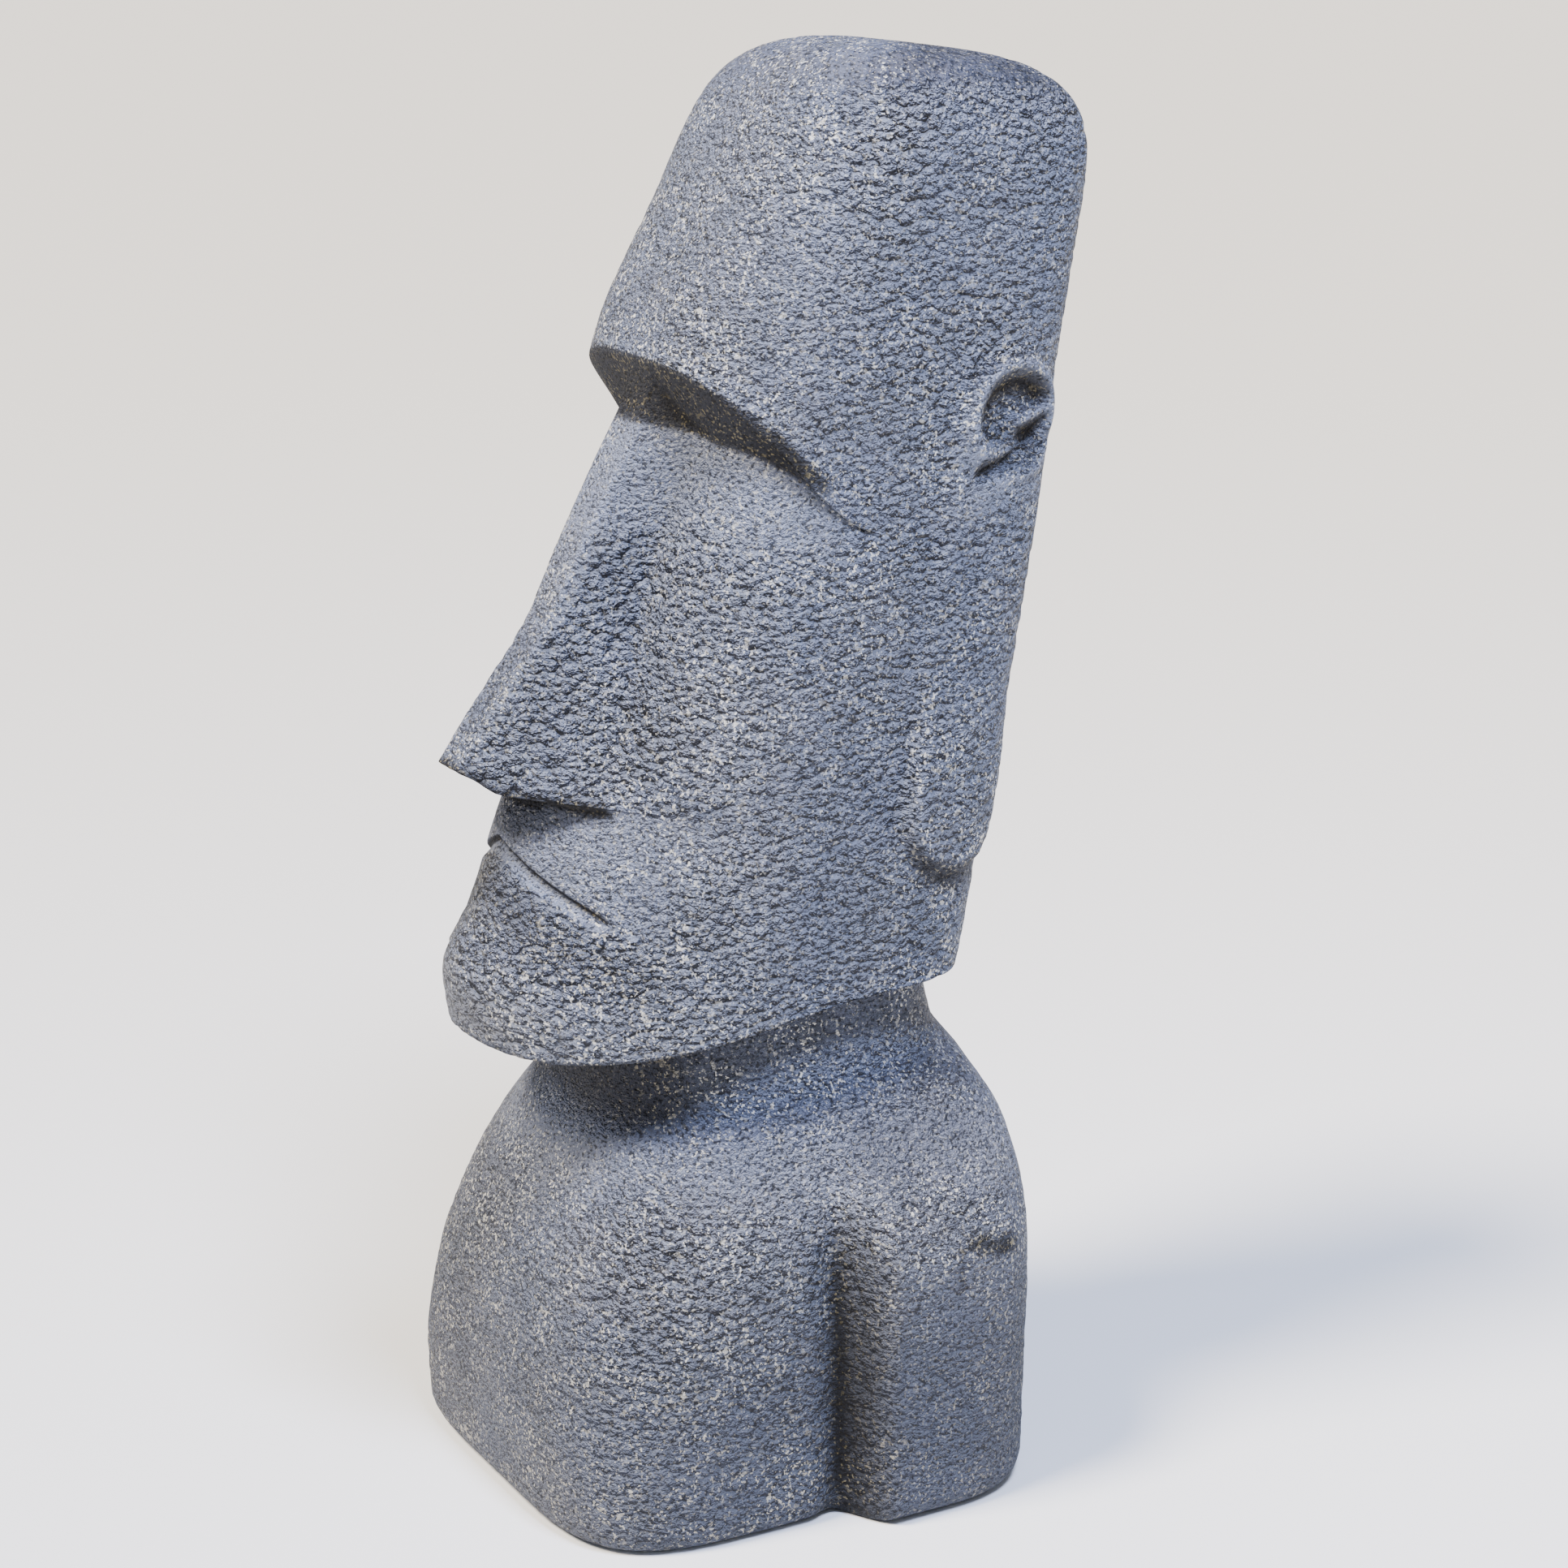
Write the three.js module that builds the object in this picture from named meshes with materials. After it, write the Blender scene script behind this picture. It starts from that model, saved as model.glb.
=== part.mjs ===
// Garden statue of a moai: a long stone head leaning back on a bust with two arms.
// It is one cast, so it is one closed solid. Millimetres, +Z up, face towards -Y,
// the statue's own left towards +X, origin in the middle of the flat underside.
//
// The skin is a grid: rows climb from the underside to the crown, and columns go
// round, from the middle of the face (angle 0) to the middle of the back (angle PI).
// Rows and columns are pinned to the carved edges, so those edges stay sharp.
import * as THREE from 'three';

// ---- driving dimensions -------------------------------------------------------

const HEIGHT = 1200;
const LEAN = THREE.MathUtils.degToRad(7.5); // the head leans back by this much
const PIVOT_HEIGHT = 380; // the head's own axis starts here, above the underside

// Bust and neck: height, half width, chest y, back y, squareness in front and behind.
const BUST = [
  [0, 212, -227, 202, 4.4, 7.0],
  [60, 213, -229, 204, 4.4, 7.0],
  [150, 212, -219, 206, 4.0, 7.0],
  [200, 210, -206, 208, 3.6, 6.5],
  [245, 205, -190, 208, 3.3, 6.0],
  [290, 193, -174, 204, 3.0, 5.2],
  [335, 168, -157, 186, 2.7, 4.0],
  [368, 142, -143, 167, 2.5, 3.4],
  [440, 133, -134, 158, 2.5, 3.2],
];
const BASE_ROUND = 20; // radius of the edge round the underside
const SHOULDER_FALL = 22; // the shoulders lie this much lower in front than midway
const SHOULDER_FROM = 200;
const SHOULDER_TO = 330;

// The arms hang straight down, proud of the chest, behind a notch in each side.
const ARM_HALF_WIDTH = 250;
const ARM_FRONT_FROM = -2; // y where the arm's front face starts to come out
const ARM_FRONT_TO = 34; // y where the arm is fully out
const ARM_BACK_FROM = 140;
const ARM_BACK_TO = 215;
const ARM_BACK_FALL = 0.3; // share of the arm lost towards the back
const ARM_FADE_FROM = 220; // height where the arm starts to melt into the shoulder
const ARM_FADE_TO = 340;
const NOTCH_DEPTH = 7;
const NOTCH_Y = -4;
const NOTCH_WIDTH = 16;

// Head: height up its own axis, half width, face y, back y, squareness in front, behind.
const HEAD = [
  [-10, 160, -243, 150, 1.9, 5.0],
  [45, 164, -256, 157, 1.85, 5.0],
  [92, 164, -241, 163, 1.75, 5.0],
  [125, 163, -235, 166, 1.65, 5.0],
  [180, 161, -224, 170, 1.65, 5.0],
  [300, 158, -152, 177, 3.0, 5.0],
  [430, 156, -130, 184, 3.0, 5.0],
  [560, 154, -112, 187, 3.0, 5.0],
  [830, 150, -60, 192, 3.0, 5.5],
];
// Forehead, above the brow: height, face y.
const FOREHEAD = [
  [480, -168],
  [575, -153],
  [700, -106],
  [830, -60],
];
const JAW_FRONT = -14; // height of the jaw's lower edge in front
const JAW_BACK = 90; // and under the back of the head
const CHIN_RAISED = 9; // the edge is higher by this much at the chin itself
const CHIN_SPREAD = THREE.MathUtils.degToRad(20);
const UNDERSIDE_DROP = 4; // the neck meets the underside of the head this much above its edge
const CROWN_FROM = 710; // the head starts to round over here
const CROWN_TOP = 831;
const CROWN_SQUARENESS = 3.5;

const BROW = 560; // height of the brow's edge at the middle
const BROW_DROOP = 114; // it sinks by this much towards the temples
const BROW_SLOPE = 50; // height of the sloping underside of the brow
const BROW_TAPER_FROM = THREE.MathUtils.degToRad(30); // the underside runs out from here
const BROW_TAPER_TO = THREE.MathUtils.degToRad(72);

// Nose: height, y and half width of its flat ridge, half width and y of its foot on
// the cheek.
const NOSE = [
  [206, -288, 20, 94, -168],
  [262, -259, 20, 80, -148],
  [345, -212, 21, 47, -130],
  [379, -201, 22, 42, -124],
  [437, -180, 22, 49, -116],
  [520, -147, 22, 74, -101],
];
const NOSE_LOW = 206;
const NOSE_TOP = 520;
const NOSE_FILLET = 6;
const NOSE_UNDERSIDE = 7; // height of the nose's sloping underside
const TIP_RAISED = 15; // the underside's edge is this much higher at the tip
const TIP_UNDERSIDE = 16; // and the underside this much taller
const TIP_FROM = THREE.MathUtils.degToRad(3.5); // angles where the tip gives way
const TIP_TO = THREE.MathUtils.degToRad(11); // to the nostrils

const MOUTH = 160; // height of the mouth's line at the middle
const MOUTH_DROOP = 47; // its corners are this much lower
const MOUTH_HALF_WIDTH = 104;
const MOUTH_DEPTH = 6;
const LIP_ABOVE = 4; // height of the groove's steep upper wall
const LIP_BELOW = 10; // height of its wide lower bevel

// Ear: a flat band up the side of the head, from the lobe to a C-shaped rim.
const LOBE = { y: 110, h: 221 };
const EAR_END = { y: 118, h: 540 };
const EAR_RAISED = 13; // how proud the band is at the lobe
const EAR_RAISED_HIGH = 2.5; // and further up
const EAR_HALF_WIDTH = 52;
const EAR_EDGE = 5; // half the width of the band's soft edge
const RIM = { y: 122, h: 547, radius: 43, raised: 8, width: 7 };
const HOLLOW = { y: 126, h: 541, radius: 35, depth: 11 };
// Folds inside the rim: two ends, half width, and how far each stands proud.
const EAR_FOLDS = [
  { start: { y: 131, h: 543 }, end: { y: 152, h: 551 }, width: 8, proud: 10 },
  { start: { y: 99, h: 518 }, end: { y: 121, h: 516 }, width: 9, proud: 10 },
];

// Rows and columns of the grid, between the pinned edges.
const CHEEK = THREE.MathUtils.degToRad(62);
const EAR_FRONT = THREE.MathUtils.degToRad(92.5);
const NARROW = THREE.MathUtils.degToRad(10);
const BACK_CORNER = THREE.MathUtils.degToRad(140);
const COLUMNS = [2, 5, 6, 5, 3, 18, 6];
const ROUND_ROWS = 3;
const BUST_ROWS = 11;
const UNDERSIDE_ROWS = 2;
const HEAD_ROWS = [3, 1, 1, 3, 2, 6, 2, 12, 2];
const CROWN_ROWS = 7;

// ---- small helpers ------------------------------------------------------------

// A smooth step from 0 at a to 1 at b.
const ease = (a, b, x) => THREE.MathUtils.smoothstep(x, a, b);

const bump = (distance, width) => Math.exp(-((distance / width) ** 2));

// A cubic through a table's stations. Its slopes are harmonic means of the slopes
// on both sides, so it never swings past a station.
function station(table, column, at) {
  const last = table.length - 1;
  const x = THREE.MathUtils.clamp(at, table[0][0], table[last][0]);
  const slope = (i) =>
    (table[i + 1][column] - table[i][column]) / (table[i + 1][0] - table[i][0]);
  const tangent = (i) => {
    if (i === 0) return slope(0);
    if (i === last) return slope(last - 1);
    const before = slope(i - 1);
    const after = slope(i);
    return before * after > 0 ? (2 * before * after) / (before + after) : 0;
  };
  let i = 0;
  while (i < last - 1 && x > table[i + 1][0]) i += 1;
  const run = table[i + 1][0] - table[i][0];
  const t = (x - table[i][0]) / run;
  return (
    table[i][column] * (1 + 2 * t) * (1 - t) ** 2 +
    tangent(i) * run * t * (1 - t) ** 2 +
    table[i + 1][column] * t * t * (3 - 2 * t) +
    tangent(i + 1) * run * t * t * (t - 1)
  );
}

// A section is a superellipse: its middle and the distance from it to the skin.
function section(halfWidth, front, back, frontPower, backPower, angle) {
  const power = Math.cos(angle) > 0 ? frontPower : backPower;
  const across = (Math.abs(Math.sin(angle)) / halfWidth) ** power;
  const along = (Math.abs(Math.cos(angle)) / ((back - front) / 2)) ** power;
  return { middle: (front + back) / 2, reach: (across + along) ** (-1 / power) };
}

// The larger of two distances, with a fillet where they are nearly equal.
function filletedMax(a, b, width) {
  const share = THREE.MathUtils.clamp(0.5 + (a - b) / (2 * width), 0, 1);
  return b * (1 - share) + a * share + width * share * (1 - share);
}

// ---- bust and arms ------------------------------------------------------------

function bustPoint(z, angle) {
  const tilt = SHOULDER_FALL * Math.cos(angle) * ease(SHOULDER_FROM, SHOULDER_TO, z);
  const at = (column) => station(BUST, column, z + tilt);
  const halfWidth = at(1);
  const { middle, reach } = section(halfWidth, at(2), at(3), at(4), at(5), angle);
  const foot = Math.max(BASE_ROUND - z, 0);
  const inset = BASE_ROUND - Math.sqrt(BASE_ROUND ** 2 - foot ** 2);
  const x = reach * Math.sin(angle);
  const y = middle - reach * Math.cos(angle);
  const proud =
    (ARM_HALF_WIDTH - halfWidth) *
    (1 - ease(ARM_FADE_FROM, ARM_FADE_TO, z)) *
    ease(ARM_FRONT_FROM, ARM_FRONT_TO, y) *
    (1 - ARM_BACK_FALL * ease(ARM_BACK_FROM, ARM_BACK_TO, y));
  const notch =
    NOTCH_DEPTH * bump(y - NOTCH_Y, NOTCH_WIDTH) * (1 - ease(SHOULDER_FROM, 300, z));
  const side = ease(0.55, 0.9, Math.abs(Math.sin(angle)));
  const arm = (proud - notch) * side;
  const shrink = 1 - inset / reach;
  return new THREE.Vector3(
    (x + Math.sign(x) * arm) * shrink,
    middle + (y - middle) * shrink,
    z,
  );
}

// ---- head ---------------------------------------------------------------------

function jawLine(angle) {
  const level = JAW_FRONT + ((JAW_BACK - JAW_FRONT) * (1 - Math.cos(angle))) / 2;
  return level + CHIN_RAISED * bump(angle, CHIN_SPREAD);
}

const browLine = (angle) => BROW - BROW_DROOP * Math.abs(Math.sin(angle)) ** 3.8;

// The brow's underside runs out in a straight taper at its ends.
function browSlope(angle) {
  const left = (BROW_TAPER_TO - Math.abs(angle)) / (BROW_TAPER_TO - BROW_TAPER_FROM);
  return BROW_SLOPE * THREE.MathUtils.clamp(left, 0.12, 1);
}

function skull(h, angle) {
  const slope = browSlope(angle);
  const above = THREE.MathUtils.clamp((h - browLine(angle) + slope) / slope, 0, 1);
  const face = station(HEAD, 2, h) * (1 - above) + station(FOREHEAD, 1, h) * above;
  const at = (column) => station(HEAD, column, h);
  return section(at(1), face, at(3), at(4), at(5), angle);
}

// Heights of the foot and of the top of the nose's underside.
function noseEdge(angle) {
  const tip = 1 - ease(TIP_FROM, TIP_TO, Math.abs(angle));
  const top = NOSE_LOW + TIP_RAISED * tip;
  return { foot: top - NOSE_UNDERSIDE - TIP_UNDERSIDE * tip, top };
}

// The nose's section is a wedge: a narrow flat ridge and two planes down to the cheeks.
// This is the distance from the middle of the head's section out to that wedge.
function noseReach(h, angle, middle) {
  const height = THREE.MathUtils.clamp(h, NOSE_LOW, NOSE_TOP);
  const ridge = station(NOSE, 1, height);
  const half = station(NOSE, 2, height);
  const footX = station(NOSE, 3, height);
  const footY = station(NOSE, 4, height);
  const across = Math.abs(Math.sin(angle));
  const ahead = Math.cos(angle);
  if (ahead <= 0) return 0;
  const front = (middle - ridge) / Math.max(ahead, 0.05);
  const turn = across * (footY - ridge) + ahead * (footX - half);
  const side =
    (half * (footY - ridge) + (middle - ridge) * (footX - half)) / Math.max(turn, 1e-6);
  const reach = Math.min(front, side);
  return across * reach < footX + 40 ? reach : 0;
}

function mouthLine(angle) {
  const x = Math.abs(skull(MOUTH, angle).reach * Math.sin(angle));
  return MOUTH - MOUTH_DROOP * (Math.min(x, 130) / MOUTH_HALF_WIDTH) ** 1.1;
}

// The mouth is a groove: its upper wall is steep and its lower wall is a wide bevel.
function mouthCut(x, h, angle) {
  if (Math.cos(angle) <= 0) return 0;
  const d = h - mouthLine(angle);
  const vee = d > 0 ? 1 - d / LIP_ABOVE : 1 + d / LIP_BELOW;
  const end = 1 - ease(MOUTH_HALF_WIDTH - 16, MOUTH_HALF_WIDTH + 4, Math.abs(x));
  return MOUTH_DEPTH * THREE.MathUtils.clamp(vee, 0, 1) * end;
}

// Distance of a place from a straight line between two others, and how far along the
// line its nearest point lies, 0 to 1.
function stroke(y, h, start, end) {
  const runY = end.y - start.y;
  const runH = end.h - start.h;
  const along = ((y - start.y) * runY + (h - start.h) * runH) / (runY ** 2 + runH ** 2);
  const t = THREE.MathUtils.clamp(along, 0, 1);
  return { off: Math.hypot(y - start.y - t * runY, h - start.h - t * runH), t };
}

// How proud the ear is of the side of the head, at a place on that side.
function earRelief(y, h) {
  const { off, t } = stroke(y, h, LOBE, EAR_END);
  const raised = THREE.MathUtils.lerp(EAR_RAISED, EAR_RAISED_HIGH, ease(0.02, 0.35, t));
  const band = raised * (1 - ease(EAR_HALF_WIDTH - EAR_EDGE, EAR_HALF_WIDTH + EAR_EDGE, off));
  const dy = y - RIM.y;
  const dh = h - RIM.h;
  const out = Math.hypot(dy, dh);
  const bearing = THREE.MathUtils.radToDeg(Math.atan2(dh, -dy)); // 0 forwards, 90 up
  const turn = THREE.MathUtils.euclideanModulo(bearing + 60, 360);
  const opened = ease(0, 35, turn) * (1 - ease(250, 280, turn));
  const rim = RIM.raised * bump(out - RIM.radius, RIM.width) * opened;
  const deep = Math.hypot(y - HOLLOW.y, h - HOLLOW.h);
  const hollow = HOLLOW.depth * (1 - ease(HOLLOW.radius - 7, HOLLOW.radius + 7, deep));
  let folds = 0;
  for (const { start, end, width, proud } of EAR_FOLDS) {
    folds += proud * bump(stroke(y, h, start, end).off, width);
  }
  return band + rim - hollow + folds;
}

function headPoint(h, angle, inward = 1) {
  const { middle, reach } = skull(h, angle);
  const nose = noseReach(h, angle, middle);
  let skin = reach;
  if (nose > 0 && h < browLine(angle)) {
    const { foot, top } = noseEdge(angle);
    skin += (filletedMax(reach, nose, NOSE_FILLET) - reach) * ease(foot, top, h);
  }
  skin -= mouthCut(skin * Math.sin(angle), h, angle);
  const flatX = skin * inward * Math.sin(angle);
  const y = middle - skin * inward * Math.cos(angle);
  const ear = earRelief(y, h) * ease(60, 130, Math.abs(flatX));
  const x = flatX + Math.sign(flatX) * ear;
  return new THREE.Vector3(
    x,
    y * Math.cos(LEAN) + h * Math.sin(LEAN),
    PIVOT_HEIGHT + h * Math.cos(LEAN) - y * Math.sin(LEAN),
  );
}

// ---- the grid -----------------------------------------------------------------

// Column angles of a head row on one side, pinned to the nose's ridge and foot, the
// cheek and the ear.
function headAngles(h) {
  const height = THREE.MathUtils.clamp(h, NOSE_LOW, NOSE_TOP);
  const { middle } = skull(height, 0);
  const ridge = Math.atan2(station(NOSE, 2, height), middle - station(NOSE, 1, height));
  const foot = Math.atan2(station(NOSE, 3, height), middle - station(NOSE, 4, height));
  return [0, ridge, foot, CHEEK, EAR_FRONT, EAR_FRONT + NARROW, BACK_CORNER, Math.PI];
}

// Column angles of a bust row on one side. Two of them follow the arm's front face.
function bustAngles(z) {
  const halfWidth = station(BUST, 1, z);
  const middle = (station(BUST, 2, z) + station(BUST, 3, z)) / 2;
  const side = (y) => Math.PI / 2 + Math.atan2(y - middle, halfWidth);
  const [, ridge, foot] = headAngles(NOSE_LOW);
  return [
    0,
    ridge,
    foot,
    CHEEK,
    side(ARM_FRONT_FROM),
    side(ARM_FRONT_TO),
    BACK_CORNER,
    Math.PI,
  ];
}

// A whole row of points between pinned angles: the right side mirrors the left.
function ring(pins, pointAt) {
  const left = [];
  COLUMNS.forEach((count, k) => {
    for (let i = 0; i < count; i += 1) {
      left.push(THREE.MathUtils.lerp(pins[k], pins[k + 1], i / count));
    }
  });
  const right = left.slice(1).reverse().map((angle) => -angle);
  return [...left, Math.PI, ...right].map(pointAt);
}

// Heights of the head's pinned rows at one angle, from the jaw up to the crown.
function headPins(angle) {
  const spread = 20 * ease(0.6, 1.1, Math.abs(angle));
  const nose = noseEdge(angle);
  const mouth = mouthLine(angle);
  const brow = browLine(angle);
  const under = browSlope(angle) + 0.8 * BROW_SLOPE * ease(1.15, 1.6, Math.abs(angle));
  return [
    jawLine(angle),
    mouth - LIP_BELOW,
    mouth,
    mouth + LIP_ABOVE,
    nose.foot - spread,
    nose.top + spread,
    brow - under,
    brow,
    610,
    CROWN_FROM,
  ];
}

function headRow(k, share) {
  const pins = headPins(0);
  const level = THREE.MathUtils.lerp(pins[k], pins[k + 1], share);
  return ring(headAngles(level), (angle) => {
    const own = headPins(angle);
    return headPoint(THREE.MathUtils.lerp(own[k], own[k + 1], share), angle);
  });
}

function statueRows() {
  const rows = [];
  for (let i = 0; i < ROUND_ROWS; i += 1) {
    const z = BASE_ROUND * (1 - Math.cos((i / ROUND_ROWS) * (Math.PI / 2)));
    rows.push(ring(bustAngles(0), (angle) => bustPoint(z, angle)));
  }
  const neckTop = (angle) => headPoint(jawLine(angle), angle).z + UNDERSIDE_DROP;
  for (let i = 0; i <= BUST_ROWS; i += 1) {
    const share = i / BUST_ROWS;
    const heightAt = (angle) =>
      THREE.MathUtils.lerp(BASE_ROUND, neckTop(angle), share);
    const pins = bustAngles(heightAt(CHEEK));
    rows.push(ring(pins, (angle) => bustPoint(heightAt(angle), angle)));
  }
  const neck = rows[rows.length - 1];
  const jaw = headRow(0, 0);
  for (let i = 1; i < UNDERSIDE_ROWS; i += 1) {
    rows.push(neck.map((point, k) => point.clone().lerp(jaw[k], i / UNDERSIDE_ROWS)));
  }
  HEAD_ROWS.forEach((count, k) => {
    for (let i = 0; i < count; i += 1) rows.push(headRow(k, i / count));
  });
  for (let i = 0; i < CROWN_ROWS; i += 1) {
    const turn = (i / CROWN_ROWS) * (Math.PI / 2);
    const norm =
      (Math.cos(turn) ** CROWN_SQUARENESS + Math.sin(turn) ** CROWN_SQUARENESS) **
      (1 / CROWN_SQUARENESS);
    const h = CROWN_FROM + ((CROWN_TOP - CROWN_FROM) * Math.sin(turn)) / norm;
    const inward = Math.cos(turn) / norm;
    rows.push(ring(headAngles(h), (angle) => headPoint(h, angle, inward)));
  }
  return rows;
}

// Stitches the rows, closes both ends with a fan, and stands the statue on its origin.
function statueGeometry() {
  const rows = statueRows();
  const around = rows[0].length;
  const points = rows.flat();
  const faces = [];
  for (let row = 0; row < rows.length - 1; row += 1) {
    for (let column = 0; column < around; column += 1) {
      const next = (column + 1) % around;
      const a = row * around + column;
      const b = row * around + next;
      faces.push(a, b, b + around);
      faces.push(a, b + around, a + around);
    }
  }
  const underside = points.length;
  points.push(new THREE.Vector3(0, 0, 0));
  const crown = points.length;
  points.push(headPoint(CROWN_TOP, 0, 0));
  const top = (rows.length - 1) * around;
  for (let column = 0; column < around; column += 1) {
    const next = (column + 1) % around;
    faces.push(underside, next, column);
    faces.push(crown, top + column, top + next);
  }
  const geometry = new THREE.BufferGeometry().setFromPoints(points);
  geometry.setIndex(faces);
  geometry.computeBoundingBox();
  const { min, max } = geometry.boundingBox;
  geometry.scale(1, 1, HEIGHT / max.z);
  geometry.translate(0, -(min.y + max.y) / 2, 0);
  geometry.computeVertexNormals();
  return geometry;
}

// ---- the statue ---------------------------------------------------------------

const castStone = new THREE.MeshStandardMaterial({
  color: '#62666f',
  roughness: 0.85,
  metalness: 0,
  flatShading: true,
});

const statue = new THREE.Mesh(statueGeometry(), castStone);
statue.name = 'moai_statue';

const part = new THREE.Group();
part.add(statue);

export default part;
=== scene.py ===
"""A garden moai in dark cast stone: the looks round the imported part.

One skin replaces the statue's node. It is a grid worked out with numpy: rows climb the
statue from the underside to the crown, and columns go round it, from the middle of the
face to the middle of the back and home again. Millimetres here become metres at the end.
"""
import math

import bpy
import numpy as np
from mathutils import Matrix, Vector


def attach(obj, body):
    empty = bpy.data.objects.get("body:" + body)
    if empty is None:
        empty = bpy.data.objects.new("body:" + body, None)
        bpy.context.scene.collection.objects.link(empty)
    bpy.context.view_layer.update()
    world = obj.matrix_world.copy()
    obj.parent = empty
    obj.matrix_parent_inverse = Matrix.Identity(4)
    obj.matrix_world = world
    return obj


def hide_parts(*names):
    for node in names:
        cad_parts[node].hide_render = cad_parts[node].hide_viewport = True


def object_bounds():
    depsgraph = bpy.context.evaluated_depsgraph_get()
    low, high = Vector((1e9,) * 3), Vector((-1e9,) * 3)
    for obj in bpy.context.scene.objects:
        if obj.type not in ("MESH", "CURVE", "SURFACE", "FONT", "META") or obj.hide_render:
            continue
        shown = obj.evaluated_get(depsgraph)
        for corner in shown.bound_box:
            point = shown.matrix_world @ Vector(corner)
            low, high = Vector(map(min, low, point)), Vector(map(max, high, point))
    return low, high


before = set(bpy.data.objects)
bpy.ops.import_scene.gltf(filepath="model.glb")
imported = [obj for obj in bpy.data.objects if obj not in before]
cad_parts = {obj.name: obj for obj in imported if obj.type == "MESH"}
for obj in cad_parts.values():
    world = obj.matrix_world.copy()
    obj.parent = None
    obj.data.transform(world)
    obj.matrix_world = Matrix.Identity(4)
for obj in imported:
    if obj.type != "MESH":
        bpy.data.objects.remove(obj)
cad_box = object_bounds()

MM = 0.001

# ---- driving dimensions of the form, millimetres --------------------------------

LEAN = math.radians(7.5)        # the head leans back by this much
PIVOT_HEIGHT = 380.0            # the head's own axis starts here
MIDDLE_SHIFT = -18.566          # puts the middle of the overall depth on the origin
SKIN_INSET = 1.2                # the grain's middle lies this far inside the cast's size
SKIN_CLEARANCE = 0.45           # and no lump comes nearer to it than this

# Bust and neck: height, half width, chest y, back y, squareness in front and behind.
BUST = np.array([
    (0, 212, -227, 202, 4.4, 7.0),
    (60, 213, -229, 204, 4.4, 7.0),
    (150, 212, -219, 206, 4.0, 7.0),
    (200, 210, -206, 208, 3.6, 6.5),
    (245, 205, -190, 208, 3.3, 6.0),
    (290, 193, -174, 204, 3.0, 5.2),
    (335, 168, -157, 186, 2.7, 4.0),
    (368, 142, -143, 167, 2.5, 3.4),
    (440, 133, -134, 158, 2.5, 3.2),
])
BASE_ROUND = 20.0               # radius of the edge round the underside
SHOULDER_FALL = 22.0            # the shoulders lie this much lower in front than midway
SHOULDER_FROM, SHOULDER_TO = 200.0, 330.0

# The arms hang straight down, proud of the chest, behind a notch in each side.
ARM_HALF_WIDTH = 250.0
ARM_FRONT = (-2.0, 34.0)        # y where the arm's front face starts and ends
ARM_BACK = (140.0, 215.0)
ARM_BACK_FALL = 0.3             # share of the arm lost towards the back
ARM_FADE = (220.0, 340.0)       # heights where it melts into the shoulder
NOTCH_DEPTH, NOTCH_Y, NOTCH_WIDTH, NOTCH_TOP = 7.0, -4.0, 16.0, 300.0

# Head: height up its own axis, half width, face y, back y, squareness in front, behind.
HEAD = np.array([
    (-10, 160, -243, 150, 1.9, 5.0),
    (45, 164, -256, 157, 1.85, 5.0),
    (92, 164, -241, 163, 1.75, 5.0),
    (125, 163, -235, 166, 1.65, 5.0),
    (180, 161, -224, 170, 1.65, 5.0),
    (300, 158, -152, 177, 3.0, 5.0),
    (430, 156, -130, 184, 3.0, 5.0),
    (560, 154, -112, 187, 3.0, 5.0),
    (830, 150, -60, 192, 3.0, 5.5),
])
# Forehead, above the brow: height, face y.
FOREHEAD = np.array([(480.0, -168), (575, -153), (700, -106), (830, -60)])
JAW_FRONT, JAW_BACK = -14.0, 90.0
CHIN_RAISED, CHIN_SPREAD = 9.0, math.radians(20)
UNDERSIDE_DROP = 4.0            # the neck meets the head this much above the jaw's edge
CROWN_FROM, CROWN_TOP, CROWN_SQUARENESS = 710.0, 830.8, 3.5

BROW, BROW_DROOP, BROW_POWER = 560.0, 114.0, 3.8
BROW_SLOPE = 50.0               # height of the brow's sloping underside in front
BROW_TAPER = (math.radians(30), math.radians(72))   # where it runs out

# Nose: height, y and half width of its flat ridge, half width and y of its foot.
NOSE = np.array([
    (206, -288, 20, 94, -168),
    (262, -259, 20, 80, -148),
    (345, -212, 21, 47, -130),
    (379, -201, 22, 42, -124),
    (437, -180, 22, 49, -116),
    (520, -147, 22, 74, -101),
])
NOSE_LOW, NOSE_TOP = 206.0, 520.0
NOSE_FILLET = 6.0
NOSE_UNDERSIDE = 7.0            # height of the nose's sloping underside
TIP_RAISED, TIP_UNDERSIDE = 15.0, 16.0      # how much more both are at the tip
TIP_SPREAD = (math.radians(3.5), math.radians(11))

MOUTH, MOUTH_DROOP, MOUTH_POWER = 160.0, 47.0, 1.1
MOUTH_HALF_WIDTH, MOUTH_DEPTH = 104.0, 6.0
MOUTH_LINE_END = 130.0          # the line is level beyond this x
LIP_ABOVE, LIP_BELOW = 4.0, 10.0

# Ear: a flat band up the side of the head, from the lobe to a C-shaped rim. Places are
# y and height.
LOBE = (110.0, 221.0)           # middle of the lobe
EAR_END = (118.0, 540.0)
EAR_RAISED, EAR_RAISED_HIGH, EAR_HALF_WIDTH = 13.0, 2.5, 52.0
EAR_EDGE = 5.0                  # half the width of the band's soft edge
RIM_MIDDLE, RIM_RADIUS, RIM_RAISED, RIM_WIDTH = (122.0, 547.0), 43.0, 8.0, 7.0
RIM_TURN = (0, 35, 250, 280)    # degrees where the rim's arc fades in and out
HOLLOW_MIDDLE, HOLLOW_RADIUS, HOLLOW_DEPTH = (126.0, 541.0), 35.0, 11.0
HOLLOW_EDGE = 7.0               # half the width of the hollow's sloping side
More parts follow.
